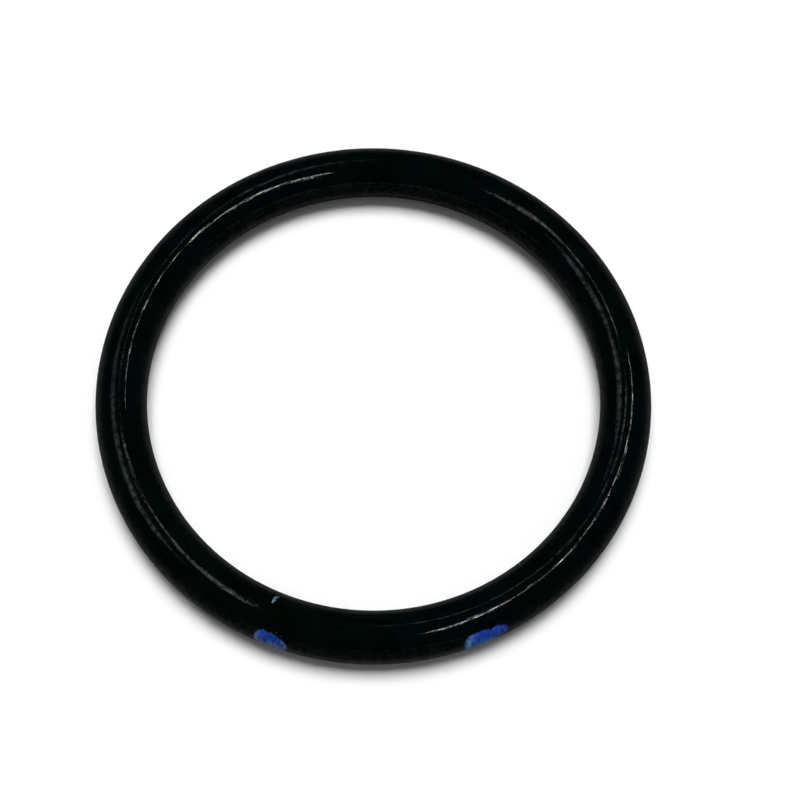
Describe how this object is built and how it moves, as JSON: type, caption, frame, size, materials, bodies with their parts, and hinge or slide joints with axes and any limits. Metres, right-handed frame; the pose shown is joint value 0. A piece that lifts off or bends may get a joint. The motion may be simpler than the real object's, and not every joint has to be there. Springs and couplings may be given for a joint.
{
  "type": "o-ring",
  "caption": "Black rubber O-ring of round section that seals a groove round a shaft, in a bore or in a flange, with short dabs of blue paint on its outer side.",
  "frame": {"origin": "centre of the ring, halfway up its section", "axes": "+Z along the ring's axis, upwards as it lies; -Y towards the painted side"},
  "size_m": [0.0384, 0.0384, 0.0036],
  "materials": {
    "rubber": "smooth moulded rubber, black, with a soft oily gloss",
    "blue_paint": "thin brushed paint, blue, dull, with a ragged edge"
  },
  "bodies": {
    "root": {"o_ring": "rubber", "left_paint_mark": "blue_paint", "right_paint_mark": "blue_paint"}
  },
  "joints": []
}
